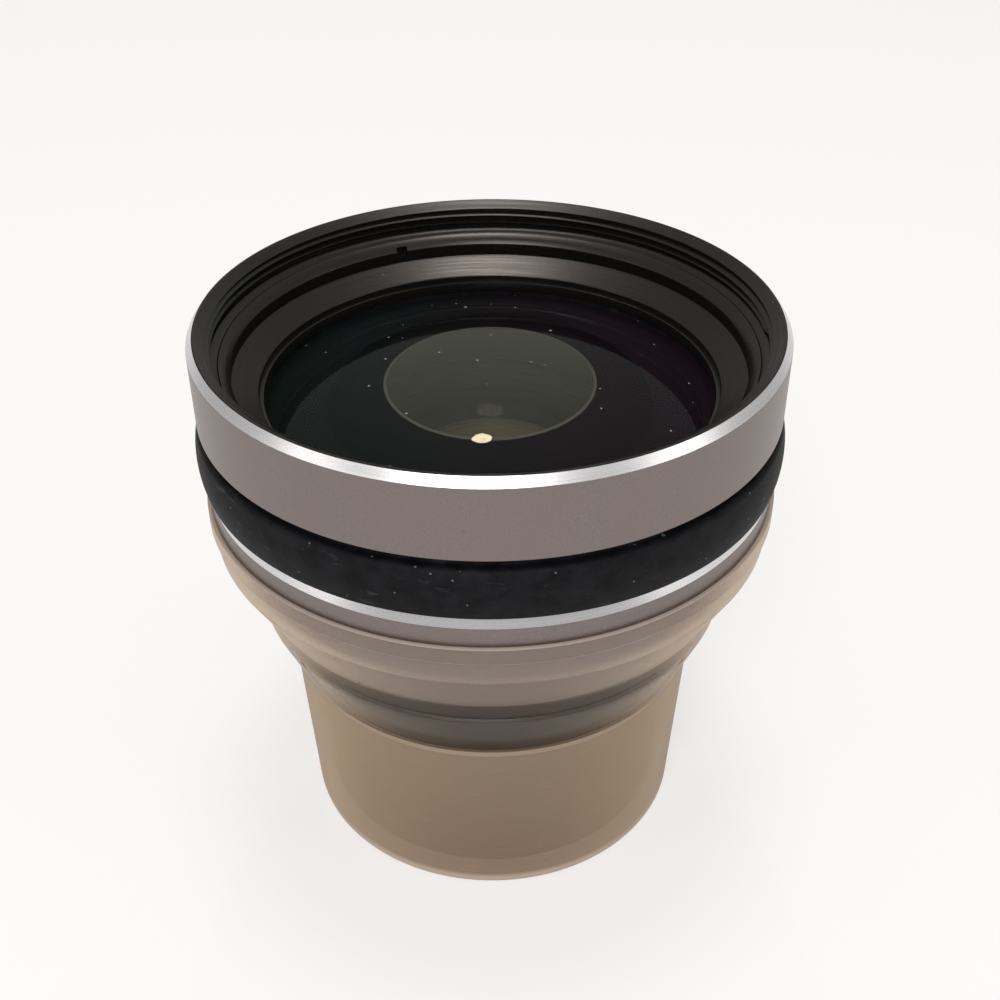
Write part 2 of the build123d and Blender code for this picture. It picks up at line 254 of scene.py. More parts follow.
def calculate(tree, operation, *values):
    inputs = {"in" + str(i): value for i, value in enumerate(values)}
    return addNode(tree, "ShaderNodeMath", {"operation": operation}, **inputs).outputs[0]


def mixShaders(tree, share, first, second):
    return addNode(tree, "ShaderNodeMixShader", in0=share, in1=first, in2=second).outputs[0]


def objectPoint(tree):
    return addNode(tree, "ShaderNodeTexCoord").outputs["Object"]


def aroundPoint(tree, turnScale, radiusScale, heightScale):
    # (angle, radius, height) of a point, so that a pattern can run round the turned pieces
    split = addNode(tree, "ShaderNodeSeparateXYZ", Vector=objectPoint(tree))
    x, y, z = split.outputs
    angle = calculate(tree, "ARCTAN2", y, x)
    square = calculate(tree, "MULTIPLY_ADD", y, y, calculate(tree, "MULTIPLY", x, x))
    radius = calculate(tree, "SQRT", square)
    joined = addNode(tree, "ShaderNodeCombineXYZ", X=angle, Y=radius, Z=z).outputs[0]
    scale = (turnScale, radiusScale, heightScale)
    return addNode(tree, "ShaderNodeMapping", Vector=joined, Scale=scale).outputs[0]


def noiseAt(tree, point, scale=1.0, detail=2.0, roughness=0.5):
    noise = addNode(tree, "ShaderNodeTexNoise", Vector=point, Scale=scale, Detail=detail,
                    Roughness=roughness)
    return noise.outputs[0]


def spread(tree, value, low, high, lowTo, highTo):
    return addNode(tree, "ShaderNodeMapRange", {"clamp": True}, Value=value, From_Min=low,
                   From_Max=high, To_Min=lowTo, To_Max=highTo).outputs[0]


def blendColors(tree, factor, first, second):
    # the Mix node's factor is its socket 0, and its two colours are sockets 6 and 7
    node = tree.nodes.new("ShaderNodeMix")
    node.data_type = "RGBA"
    factorSocket, firstSocket, secondSocket = (node.inputs[place] for place in (0, 6, 7))
    sockets = ((factorSocket, factor), (firstSocket, first), (secondSocket, second))
    for socket, value in sockets:
        if hasattr(value, "is_output"):
            tree.links.new(value, socket)
        elif isinstance(value, (int, float)):
            socket.default_value = value
        else:
            socket.default_value = (*value, 1)
    return node.outputs[2]


def specks(tree, point, scale, size, share):
    # small round specks: one in some cells of a Voronoi pattern
    cells = addNode(tree, "ShaderNodeTexVoronoi", {"voronoi_dimensions": "3D"}, Vector=point,
                    Scale=scale)
    near = calculate(tree, "LESS_THAN", cells.outputs["Distance"], size)
    split = addNode(tree, "ShaderNodeSeparateColor", Color=cells.outputs["Color"])
    chosen = calculate(tree, "LESS_THAN", split.outputs[0], share)
    return calculate(tree, "MULTIPLY", near, chosen)


def twoDusts(tree, point, look):
    # fine specks and, in a wider pattern, fewer big ones
    scale, share = look["dustScale"], look["dustShare"]
    fine = specks(tree, point, scale, look["fineSpeck"], share)
    big = specks(tree, point, scale / look["bigSpacing"], look["bigSpeck"], share)
    return calculate(tree, "MAXIMUM", fine, big)


def bumpFrom(tree, height, look):
    return addNode(tree, "ShaderNodeBump", Strength=look["bump"], Distance=look["bumpDepth"],
                   Height=height).outputs[0]


def turnedTangent(tree):
    # reflections stretch across the fine turning lines
    settings = {"direction_type": "RADIAL", "axis": "Z"}
    return addNode(tree, "ShaderNodeTangent", settings).outputs[0]


def silverSatin(look):
    material, tree, out = newMaterial(look["name"])
    point = objectPoint(tree)
    grain = noiseAt(tree, point, look["grainScale"], detail=3.0, roughness=0.6)
    cloud = noiseAt(tree, point, look["cloudScale"])
    color = blendColors(tree, spread(tree, grain, *noiseSpan, 0, 1), look["dark"], look["light"])
    clouded = spread(tree, cloud, *look["cloudSpan"], 0, look["cloudShare"])
    color = blendColors(tree, clouded, color, look["cloud"])
    rough = spread(tree, grain, *noiseSpan, *look["roughness"])
    metal = addNode(tree, "ShaderNodeBsdfPrincipled", Base_Color=color, Metallic=1.0,
                    Roughness=rough, Normal=bumpFrom(tree, grain, look))
    tree.links.new(metal.outputs[0], out.inputs[0])
    return material


def brightCut(look):
    # turned with a diamond tool: nearly mirror bright, with very fine rings
    material, tree, out = newMaterial(look["name"])
    point = aroundPoint(tree, look["ringTurn"], look["ringScale"], look["ringScale"])
    lines = noiseAt(tree, point, detail=3.0, roughness=0.7)
    rough = spread(tree, lines, *noiseSpan, *look["roughness"])
    metal = addNode(tree, "ShaderNodeBsdfPrincipled", Base_Color=(*look["color"], 1),
                    Metallic=1.0, Roughness=rough, Anisotropic=look["anisotropic"],
                    Normal=bumpFrom(tree, lines, look), Tangent=turnedTangent(tree))
    tree.links.new(metal.outputs[0], out.inputs[0])
    return material


def blackAnodised(changes):
    look = {
        "bumpDepth": 0.00002, "ringTurn": 1.5, "ringScale": 9000, "grainScale": 9000,
        "dustScale": 1400, "speck": 0.10, "dustShare": 0.0, "dust": (0.2, 0.19, 0.18),
    }
    look.update(changes)
    material, tree, out = newMaterial(look["name"])
    point = aroundPoint(tree, look["ringTurn"], look["ringScale"], look["ringScale"])
    lines = noiseAt(tree, point, detail=3.0, roughness=0.6)
    grain = noiseAt(tree, objectPoint(tree), look["grainScale"])
    color = blendColors(tree, spread(tree, grain, *noiseSpan, 0, 1), look["dark"], look["light"])
    if look["dustShare"] > 0:
        dust = specks(tree, objectPoint(tree), look["dustScale"], look["speck"],
                      look["dustShare"])
        color = blendColors(tree, dust, color, look["dust"])
    rough = spread(tree, lines, *noiseSpan, *look["roughness"])
    height = calculate(tree, "ADD", lines, grain)
    metal = addNode(tree, "ShaderNodeBsdfPrincipled", Base_Color=color,
                    Metallic=look["metallic"], Roughness=rough,
                    Anisotropic=look["anisotropic"], Normal=bumpFrom(tree, height, look),
                    Tangent=turnedTangent(tree))
    metal.inputs["Specular IOR Level"].default_value = look["specular"]
    tree.links.new(metal.outputs[0], out.inputs[0])
    return material


def gripRubber(look):
    material, tree, out = newMaterial(look["name"])
    point = objectPoint(tree)
    grain = noiseAt(tree, point, look["grainScale"], detail=3.0, roughness=0.6)
    cloud = noiseAt(tree, aroundPoint(tree, *look["cloudScale"]), detail=5.0, roughness=0.65)
    clouded = spread(tree, cloud, *look["cloudSpan"], 0, 1)
    color = blendColors(tree, clouded, look["dark"], look["light"])
    scuffs = noiseAt(tree, aroundPoint(tree, *look["scuffScale"]), detail=5.0, roughness=0.75)
    scuffed = spread(tree, scuffs, *look["scuffSpan"], 0, look["scuffShare"])
    color = blendColors(tree, scuffed, color, look["dust"])
    color = blendColors(tree, twoDusts(tree, point, look), color, look["dust"])
    rubber = addNode(tree, "ShaderNodeBsdfPrincipled", Base_Color=color,
                     Roughness=look["roughness"], Normal=bumpFrom(tree, grain, look))
    rubber.inputs["Specular IOR Level"].default_value = look["specular"]
    tree.links.new(rubber.outputs[0], out.inputs[0])
    return material


def lensGlass(look):
    # coated glass; light rays pass straight through it to the pieces behind
    material, tree, out = newMaterial(look["name"])
    bent = addNode(tree, "ShaderNodeBsdfRefraction", Color=(*look["color"], 1), Roughness=0.0)
    bent.inputs["IOR"].default_value = look["ior"]
    mirror = addNode(tree, "ShaderNodeBsdfGlossy", Color=(*look["coating"], 1), Roughness=0.0)
    bare = addNode(tree, "ShaderNodeFresnel")
    bare.inputs["IOR"].default_value = look["ior"]
    coated = calculate(tree, "MULTIPLY", bare.outputs[0], look["reflect"])
    surface = mixShaders(tree, coated, bent.outputs[0], mirror.outputs[0])
    if "haze" in look:
        # a diffuse film of painted glow, standing for light seen through the lens; it shows more
        # where the glass is seen at a slant
        facing = addNode(tree, "ShaderNodeLayerWeight", Blend=0.5).outputs["Facing"]
        film = addNode(tree, "ShaderNodeBsdfDiffuse", Color=(*look["haze"], 1))
        share = spread(tree, facing, *look["hazeSlant"], *look["hazeShare"])
        surface = mixShaders(tree, share, surface, film.outputs[0])
    if "dust" in look:
        dust = twoDusts(tree, objectPoint(tree), look)
        lint = addNode(tree, "ShaderNodeBsdfDiffuse", Color=(*look["dust"], 1))
        amount = calculate(tree, "MULTIPLY", dust, look["dustStrength"])
        surface = mixShaders(tree, amount, surface, lint.outputs[0])
    path = addNode(tree, "ShaderNodeLightPath").outputs
    through = calculate(tree, "MAXIMUM", path["Is Shadow Ray"], path["Is Diffuse Ray"])
    clear = addNode(tree, "ShaderNodeBsdfTransparent", Color=(*look["through"], 1))
    mixed = mixShaders(tree, through, surface, clear.outputs[0])
    tree.links.new(mixed, out.inputs[0])
    return material


def hazyPlastic(changes):
    # translucent plastic: its haze hides what is behind it, more so where it is seen at a slant;
    # its colour carries painted shade, darker towards the bottom, and a painted sheen, lighter
    # towards the outline
    look = {
        # low and high: painted shade from bottom to top; edge: painted sheen at the outline
        "low": (0.237, 0.163, 0.110), "high": (0.36, 0.274, 0.195), "blend": (3.0, 18.0),
        "edge": (0.60, 0.46, 0.31), "slant": (0.30, 0.80),
        "stain": (0.2, 0.15, 0.1), "stainShare": 0.10, "cloudScale": 60,
        "markAndFootHighlight": (0.64, 0.52, 0.42), "markShare": 0.15, "markScale": (5, 300, 5200),
        "markSpan": (0.62, 0.70), "footShare": 0.0, "foot": (0.9, 1.5),
        "grainScale": 6000, "bump": 0.3, "bumpDepth": 0.00004, "roughness": 0.42, "ior": 1.49,
        "specular": 0.4, "translucent": 0.4, "clear": (0.9, 0.82, 0.72), "shine": 0.02,
        "haze": [(0.0, 0.80), (0.6, 0.88), (1.0, 1.0)],
    }
    look.update(changes)
    material, tree, out = newMaterial(look["name"])
    point = objectPoint(tree)
    height = addNode(tree, "ShaderNodeSeparateXYZ", Vector=point).outputs[2]
    facing = addNode(tree, "ShaderNodeLayerWeight", Blend=0.5).outputs["Facing"]
    # painted shade: the colour darkens towards the bottom
    low, high = (value * mm for value in look["blend"])
    color = blendColors(tree, spread(tree, height, low, high, 0, 1), look["low"], look["high"])
    # painted sheen: the colour lightens towards the outline, where the plastic is seen at a slant
    color = blendColors(tree, spread(tree, facing, *look["slant"], 0, 1), color, look["edge"])
    cloud = noiseAt(tree, point, look["cloudScale"], detail=3.0)
    stained = spread(tree, cloud, *noiseSpan, 0, look["stainShare"])
    color = blendColors(tree, stained, color, look["stain"])
    marks = noiseAt(tree, aroundPoint(tree, *look["markScale"]), roughness=0.6)
    marked = spread(tree, marks, *look["markSpan"], 0, look["markShare"])
    color = blendColors(tree, marked, color, look["markAndFootHighlight"])
    # painted highlight: a light line along the foot, in the colour of the light marks
    low, high = (value * mm for value in look["foot"])
    foot = spread(tree, height, low, high, look["footShare"], 0)
    color = blendColors(tree, foot, color, look["markAndFootHighlight"])
    bump = bumpFrom(tree, noiseAt(tree, point, look["grainScale"]), look)
    body = addNode(tree, "ShaderNodeBsdfPrincipled", Base_Color=color,
                   Roughness=look["roughness"], IOR=look["ior"], Normal=bump)
    body.inputs["Specular IOR Level"].default_value = look["specular"]
    glow = addNode(tree, "ShaderNodeBsdfTranslucent", Color=color, Normal=bump)
    haze = mixShaders(tree, look["translucent"], body.outputs[0], glow.outputs[0])
    ramp = addNode(tree, "ShaderNodeValToRGB", in0=facing)
    stops = ramp.color_ramp.elements
    while len(stops) < len(look["haze"]):
        stops.new(0.5)
    for stop, (place, share) in zip(stops, look["haze"]):
        stop.position = place
        stop.color = (share, share, share, 1)
    clear = addNode(tree, "ShaderNodeBsdfTransparent", Color=(*look["clear"], 1))
    shine = addNode(tree, "ShaderNodeBsdfGlossy", Color=(1, 1, 1, 1),
                    Roughness=look["roughness"], Normal=bump)
    film = mixShaders(tree, look["shine"], clear.outputs[0], shine.outputs[0])
    tree.links.new(mixShaders(tree, ramp.outputs[0], film, haze), out.inputs[0])
    return material


def edgePaint(look):
    # matt paint on the glass, with a painted reflection of the coating: its tint turns from the
    # left colour to the right colour across the piece; the same function makes the rings of
    # painted highlight
    material, tree, out = newMaterial(look["name"])
    # painted reflection: the tint runs from left to right
    across = addNode(tree, "ShaderNodeSeparateXYZ", Vector=objectPoint(tree)).outputs[0]
    tone = spread(tree, across, -look["reach"] * mm, look["reach"] * mm, 0, 1)
    color = blendColors(tree, tone, look["left"], look["right"])
    paint = addNode(tree, "ShaderNodeBsdfDiffuse", Color=color)
    tree.links.new(paint.outputs[0], out.inputs[0])
    return material


# materials; a pair of values gives the range of that quality

pairCoating = {
    "coating": (1.0, 0.95, 0.85), "reflect": 0.05, "color": (0.99, 0.97, 0.93),
    "through": (0.92, 0.9, 0.88),
}
bellLook = {
    "roughness": 0.34, "translucent": 0.35, "clear": (0.99, 0.98, 0.97), "shine": 0.01,
}
finishes = {
    "silver": silverSatin({
        "name": "silverSatin", "dark": (0.182, 0.154, 0.149), "light": (0.262, 0.226, 0.221),
        "cloud": (0.225, 0.186, 0.170), "cloudShare": 0.5, "cloudSpan": (0.35, 0.65),
        "cloudScale": 180, "grainScale": 9000, "roughness": (0.35, 0.46), "bump": 0.35,
        "bumpDepth": 0.00003,
    }),
    "bright": brightCut({
        "name": "brightCut", "color": (0.70, 0.70, 0.72), "roughness": (0.23, 0.33),
        "bump": 0.15, "bumpDepth": 0.00001, "ringTurn": 0.6, "ringScale": 20000,
        "anisotropic": 0.5,
    }),
    "black": blackAnodised({
        "name": "blackAnodised", "dark": (0.003, 0.0028, 0.0025),
        "light": (0.006, 0.0055, 0.005), "roughness": (0.24, 0.38), "bump": 0.2,
        "anisotropic": 0.7, "metallic": 0.0, "specular": 0.35, "dustShare": 0.02,
        "dust": (0.12, 0.115, 0.11),
    }),
    "coneBlack": blackAnodised({
        "name": "polishedCone", "dark": (0.038, 0.036, 0.035), "light": (0.050, 0.047, 0.046),
        "roughness": (0.24, 0.38), "bump": 0.12, "anisotropic": 0.35, "metallic": 1.0,
        "specular": 0.5, "dustShare": 0.02,
    }),
    "blackSatin": blackAnodised({
        "name": "blackSatinMetal", "dark": (0.014, 0.011, 0.010),
        "light": (0.020, 0.016, 0.015), "roughness": (0.36, 0.50), "bump": 0.06,
        "anisotropic": 0.5, "metallic": 0.6, "specular": 0.5,
    }),
    "baffle": blackAnodised({
        "name": "matteBaffle", "dark": (0.004, 0.004, 0.004), "light": (0.007, 0.007, 0.0065),
        "roughness": (0.64, 0.78), "bump": 0.3, "ringScale": 4000, "anisotropic": 0.0,
        "metallic": 0.0, "specular": 0.12,
    }),
    "rubber": gripRubber({
        "name": "gripRubber", "dark": (0.002, 0.002, 0.003), "light": (0.007, 0.007, 0.009),
        "roughness": 0.6, "bump": 0.6, "bumpDepth": 0.00004, "grainScale": 5200,
        "cloudScale": (14, 600, 700), "cloudSpan": (0.38, 0.66), "specular": 0.12,
        "scuffScale": (8, 500, 900), "scuffSpan": (0.60, 0.74), "scuffShare": 0.35,
        "dust": (0.10, 0.10, 0.105), "dustScale": 1700, "dustShare": 0.07, "fineSpeck": 0.16,
        "bigSpeck": 0.07, "bigSpacing": 4,
    }),
    "frontGlass": lensGlass({
        "name": "frontGlass", "color": (0.97, 0.98, 0.95), "ior": 1.62, "reflect": 0.22,
        "coating": (0.9, 1.0, 0.92), "through": (0.9, 0.92, 0.9), "dust": (0.5, 0.48, 0.45),
        "dustStrength": 0.6, "dustScale": 800, "dustShare": 0.16, "fineSpeck": 0.085,
        "bigSpeck": 0.06, "bigSpacing": 2.3,
    }),
    # painted glow over the clear middle of the front glass's hollow
    "hazyHollow": lensGlass({
        "name": "hazyHollow", "color": (0.97, 0.98, 0.95), "ior": 1.62, "reflect": 0.04,
        "coating": (1.0, 0.95, 0.85), "through": (0.9, 0.92, 0.9), "haze": (0.50, 0.51, 0.42),
        "hazeSlant": (0.08, 0.47), "hazeShare": (0.06, 0.15),
    }),
    # painted glow on the crown, standing for the cap's light seen through the pair
    "rearGlass": lensGlass({
        **pairCoating, "name": "rearGlass", "ior": 1.517, "haze": (0.62, 0.46, 0.30),
        "hazeSlant": (0.08, 0.47), "hazeShare": (0.35, 0.35),
    }),
    "flintGlass": lensGlass({**pairCoating, "name": "flintGlass", "ior": 1.62}),
    "cement": lensGlass({
        "name": "cementedFace", "color": (0.99, 0.98, 0.95), "ior": 1.517, "reflect": 0.02,
        "coating": (1.0, 1.0, 1.0), "through": (1.0, 1.0, 1.0),
    }),
    # the cup carries the painted highlight along its foot
    "cup": hazyPlastic({"name": "cupPlastic", "footShare": 1.0}),
    "bell": hazyPlastic({
        **bellLook, "name": "bellPlastic", "low": (0.56, 0.45, 0.34),
        "high": (0.58, 0.49, 0.41), "edge": (0.66, 0.52, 0.39),
        "haze": [(0.0, 0.03), (0.60, 0.04), (0.70, 0.12), (0.80, 0.32), (0.90, 0.70),
                 (1.0, 0.98)],
    }),
    "mouth": hazyPlastic({
        **bellLook, "name": "mouthPlastic", "low": (0.58, 0.48, 0.38),
        "high": (0.60, 0.51, 0.43), "edge": (0.72, 0.58, 0.45),
        "haze": [(0.0, 0.04), (0.3, 0.06), (0.5, 0.16), (0.62, 0.40), (0.75, 0.88),
                 (1.0, 0.99)],
    }),
    # painted highlight lines at the bell's fold and along its top rim
    "lip": hazyPlastic({
        "name": "lipPlastic", "low": (0.47, 0.37, 0.295), "high": (0.52, 0.46, 0.43),
        "blend": (20.0, 38.0), "edge": (0.56, 0.43, 0.31),
        "haze": [(0.0, 0.85), (0.6, 0.9), (1.0, 1.0)],
    }),
    # black paint on the glass, with the coating's greenish and magenta reflections painted in
    "edgePaint": edgePaint({
        "name": "edgePaint", "reach": 20, "left": (0.006, 0.010, 0.010),
        "right": (0.012, 0.006, 0.011),
    }),
    # thin grey rings of painted highlight, where light catches the rim of the clear opening
    "groundEdge": edgePaint({
        "name": "groundEdge", "reach": 20, "left": (0.08, 0.077, 0.068),
        "right": (0.08, 0.075, 0.068),
    }),
}
print("materials made:", len(finishes))


# rear cap: a thick cup, and the thin bell above it that follows the lens

rearCap = {
    "profile": [
        (0.3, 0.0), (19.5, 0.0), (20.7, 19.1), (20.0, 19.1), (20.0, 18.2), (18.55, 18.2),
        (18.55, 12.12), (18.05, 11.52), (18.05, 1.3), (0.3, 1.3),
    ],
    "rounds": [(19.5, 0.0, 0.6, 5), (18.55, 18.2, 0.25, 2), (18.05, 1.3, 1.0, 5)],
    "thread": {
        "root": 18.58, "crest": 18.16, "baseWidth": 0.62, "crestWidth": 0.10, "low": 12.8,
        "pitch": 0.75, "turns": 6.2, "stepsPerTurn": 120,
    },
    "bell": [
        (20.06, 19.11), (20.69, 19.11), (20.9, 19.9), (23.35, 25.7), (23.8, 28.2),
        (27.1, 34.1), (27.38, 36.4), (27.58, 36.55), (27.58, 38.2), (27.2, 38.2),
        (27.2, 35.95), (26.8, 33.75), (23.45, 27.95), (23.0, 25.5), (20.3, 19.6),
    ],
    "bellRounds": [
        (20.9, 19.9, 0.15, 2), (23.35, 25.7, 0.15, 2), (23.8, 28.2, 0.2, 2),
        (27.1, 34.1, 0.15, 2), (27.58, 36.55, 0.05, 2), (27.58, 38.2, 0.12, 3),
        (27.2, 38.2, 0.12, 3),
    ],
    "bellSteps": 320,
    "mouthHeights": (34.2, 38.0),
    # heights of the painted highlight lines: the fold and the top rim
    "lipHeights": [(19.0, 19.95), (38.08, 38.3)],
}


def makeRearCap(settings):
    cap = turnPiece("rearCap", settings["profile"], onAxis=True)
    roundRings(cap, settings["rounds"])
    joinPieces(cap, threadRidge("capThread", settings["thread"]))
    finishPiece(cap, "cap", "frosted_cap", finishes["cup"], "rear_cap")
    bell = turnPiece("capBell", settings["bell"], settings["bellSteps"])
    roundRings(bell, settings["bellRounds"])
    finishPiece(bell, "cap", "frosted_cap", finishes["bell"])
    giveFaces(bell, "mouth", settings["mouthHeights"])
    # painted highlight lines at the fold and along the top rim
    for heights in settings["lipHeights"]:
        giveFaces(bell, "lip", heights)


makeRearCap(rearCap)
print("rear cap made")


# rear mount ring, with the turns of its 37 mm thread

mountRing = {
    "profile": [
        (16.3, 12.72), (17.8, 12.72), (18.06, 13.02), (18.06, 18.22), (19.65, 18.22),
        (19.65, 18.92), (22.95, 25.55), (22.7, 25.8), (18.55, 25.8), (18.55, 19.62),
        (16.3, 19.62),
    ],
    "rounds": [
        (16.3, 12.72, 0.15, 2), (19.65, 18.22, 0.12, 2), (19.65, 18.92, 0.08, 2),
        (22.95, 25.55, 0.06, 2),
    ],
    "thread": {
        "root": 18.04, "crest": 18.5, "baseWidth": 0.58, "crestWidth": 0.09, "low": 13.175,
        "pitch": 0.75, "turns": 6.0, "stepsPerTurn": 160,
    },
}


def makeMountRing(settings):
    ring = turnPiece("rearMountRing", settings["profile"])
    roundRings(ring, settings["rounds"])
    joinPieces(ring, threadRidge("mountThread", settings["thread"]))
    finishPiece(ring, "lens", "black_anodised", finishes["blackSatin"], "rear_mount_ring")


makeMountRing(mountRing)
print("mount ring made")


# rear cell, whose flange is the upper dark band

rearCell = {
    "profile": [
        (16.05, 19.64), (18.5, 19.64), (18.5, 25.82), (22.65, 25.82), (22.65, 28.0),
        (20.45, 28.0), (20.45, 30.81), (16.45, 30.81), (15.15, 28.07), (15.15, 26.67),
        (16.05, 26.35),
    ],
    "rounds": [(22.65, 25.82, 0.12, 2), (22.65, 28.0, 0.12, 2), (15.15, 28.07, 0.12, 2)],
    "insideHeights": (25.0, 31.0),
    "insideRadii": (0, 20.3),
}


def makeRearCell(settings):
    cell = turnPiece("rearCell", settings["profile"])
    roundRings(cell, settings["rounds"])
    finishPiece(cell, "lens", "black_anodised", finishes["blackSatin"], "rear_cell")
    giveFaces(cell, "baffle", settings["insideHeights"], settings["insideRadii"])


makeRearCell(rearCell)
print("rear cell made")


# cemented pair

rearPair = {
    "reach": 16.0, "tiny": 0.3, "front": 45.0, "cement": 42.0, "rear": 180.0,
    "frontVertex": 29.275, "cementVertex": 22.07, "rearVertex": 20.47, "overlap": 0.004,
    "steps": 160, "curveSteps": 40, "rearSteps": 24,
    "cementHeights": (20, 26), "cementRadii": (0, 15.98), "crownDown": (-1.0, -0.6),
    "flintUp": (0.6, 1.0), "edgeHeights": (26.3, 27.4), "edgeRadii": (14.35, 14.9),
    "edgeUp": (0.5, 1.0),
}


def makeRearPair(settings):
    reach, tiny = settings["reach"], settings["tiny"]
    steps, curveSteps = settings["steps"], settings["curveSteps"]
    cement, cementVertex = settings["cement"], settings["cementVertex"]
    crown = domePoints(settings["frontVertex"], settings["front"], tiny, reach, curveSteps, -1)
    crownLow = cementVertex - settings["overlap"]
    crown += domePoints(crownLow, cement, reach, tiny, curveSteps, 1)
    crownPiece = turnPiece("crownGlass", crown, steps, onAxis=True)
    finishPiece(crownPiece, "lens", "rear_glass", finishes["rearGlass"], "crown_element")
    cemented = settings["cementHeights"], settings["cementRadii"]
    giveFaces(crownPiece, "cement", *cemented, settings["crownDown"])
    # a thin ring of painted highlight on the crown, just inside the cell's lip
    ground = settings["edgeHeights"], settings["edgeRadii"]
    giveFaces(crownPiece, "groundEdge", *ground, settings["edgeUp"])
    flint = domePoints(cementVertex, cement, tiny, reach, curveSteps, 1)
    flint += domePoints(settings["rearVertex"], settings["rear"], reach, tiny,
                        settings["rearSteps"], 1)
    flintPiece = turnPiece("flintGlass", flint, steps, onAxis=True)
    finishPiece(flintPiece, "lens", "rear_glass", finishes["flintGlass"], "flint_element")
    giveFaces(flintPiece, "cement", *cemented, settings["flintUp"])


makeRearPair(rearPair)
print("cemented pair made")


# main barrel

mainBarrel = {
    "profile": [
        (20.5, 28.02), (23.4, 28.02), (26.5, 33.75), (26.7, 33.9), (26.75, 36.0),
        (27.15, 36.05), (27.15, 40.01), (26.55, 41.31), (26.2, 41.31), (26.2, 51.98),
        (25.35, 51.98), (25.35, 40.93), (24.0, 40.93), (24.0, 36.95), (20.5, 31.05),
    ],
    "rounds": [
        (23.4, 28.02, 0.10, 2), (26.7, 33.9, 0.06, 2), (27.15, 36.05, 0.05, 2),
        (27.15, 40.01, 0.03, 2),
    ],
    "brightHeights": (40.03, 41.30), "brightRadii": (26.4, 27.2), "brightUp": (0.1, 0.9),
    "insideHeights": (28.1, 52.0), "insideRadii": (0, 25.4),
}


def makeMainBarrel(settings):
    barrel = turnPiece("mainBarrel", settings["profile"])
    roundRings(barrel, settings["rounds"])
    finishPiece(barrel, "lens", "silver_aluminium", finishes["silver"], "main_barrel")
    giveFaces(barrel, "bright", settings["brightHeights"], settings["brightRadii"],
              settings["brightUp"])
    giveFaces(barrel, "baffle", settings["insideHeights"], settings["insideRadii"],
              inward=True)


makeMainBarrel(mainBarrel)
print("main barrel made")


# rubber grip

gripRing = {
    "edge": 27.55, "crown": 0.4, "low": 41.33, "high": 46.31, "crownSteps": 12,
    "lip": [(26.75, 46.31), (26.75, 47.16), (26.25, 47.16), (26.25, 41.33)],
    "rounds": [(27.55, 41.33, 0.22, 4), (27.55, 46.31, 0.42, 6), (26.75, 47.16, 0.1, 2)],
}


def crownPoints(settings):
    # the outside bulges a little, following an arc between its two edges
    half = (settings["high"] - settings["low"]) / 2
    arc = (half ** 2 + settings["crown"] ** 2) / (2 * settings["crown"])
    top, middle = settings["edge"] + settings["crown"], settings["low"] + half
    points = []
    for i in range(settings["crownSteps"] + 1):
        offset = half * (2 * i / settings["crownSteps"] - 1)
        points.append((top - sag(arc, offset), middle + offset))
    return points


def makeGripRing(settings):
    grip = turnPiece("gripRing", crownPoints(settings) + settings["lip"])
    roundRings(grip, settings["rounds"])
    finishPiece(grip, "lens", "grip_rubber", finishes["rubber"], "grip_ring")


makeGripRing(gripRing)
print("grip made")


# name ring, plain, with its bright edge

nameRing = {
    "profile": [
        (26.25, 47.18), (27.40, 47.18), (27.55, 47.33), (27.6, 54.20), (27.02, 55.0),
        (27.0, 55.0), (27.0, 53.53), (26.25, 53.53),
    ],
    "rounds": [(27.6, 54.20, 0.03, 2)],
    "steps": 320,
    "brightHeights": (54.22, 55.1), "brightRadii": (26.9, 27.62), "brightUp": (0.2, 1.1),
}


def makeNameRing(settings):
    ring = turnPiece("nameRing", settings["profile"], settings["steps"])
    roundRings(ring, settings["rounds"])
    finishPiece(ring, "lens", "silver_aluminium", finishes["silver"], "name_ring")
    giveFaces(ring, "bright", settings["brightHeights"], settings["brightRadii"],
              settings["brightUp"])


makeNameRing(nameRing)
print("name ring made")


# front cell, with the rim and the turns of the 52 mm filter thread

frontCell = {
    "profile": [
        (21.3, 40.95), (25.3, 40.95), (25.3, 52.0), (26.2, 52.0), (26.2, 53.55),
        (26.95, 53.55), (26.95, 55.05), (26.80, 55.05), (25.75, 54.40), (26.0, 54.25),
        (26.0, 52.50), (25.6, 52.45), (25.0, 52.05), (25.0, 47.01), (23.05, 47.01),
        (23.05, 41.86), (21.3, 41.86),
    ],
    "rounds": [
        (26.95, 55.05, 0.05, 2), (26.80, 55.05, 0.04, 2), (25.75, 54.40, 0.08, 3),
        (25.0, 52.05, 0.06, 2),
    ],
    "steps": 320,
    "thread": {
        "root": 26.02, "crest": 25.6, "baseWidth": 0.66, "crestWidth": 0.10, "low": 52.75,
        "pitch": 0.75, "turns": 1.7, "stepsPerTurn": 200,
    },
}


def makeFrontCell(settings):
    cell = turnPiece("frontCell", settings["profile"], settings["steps"])
    roundRings(cell, settings["rounds"])
    joinPieces(cell, threadRidge("filterThread", settings["thread"]))
    finishPiece(cell, "lens", "black_anodised", finishes["black"], "front_cell")


makeFrontCell(frontCell)
print("front cell made")


# rings in front of the glass

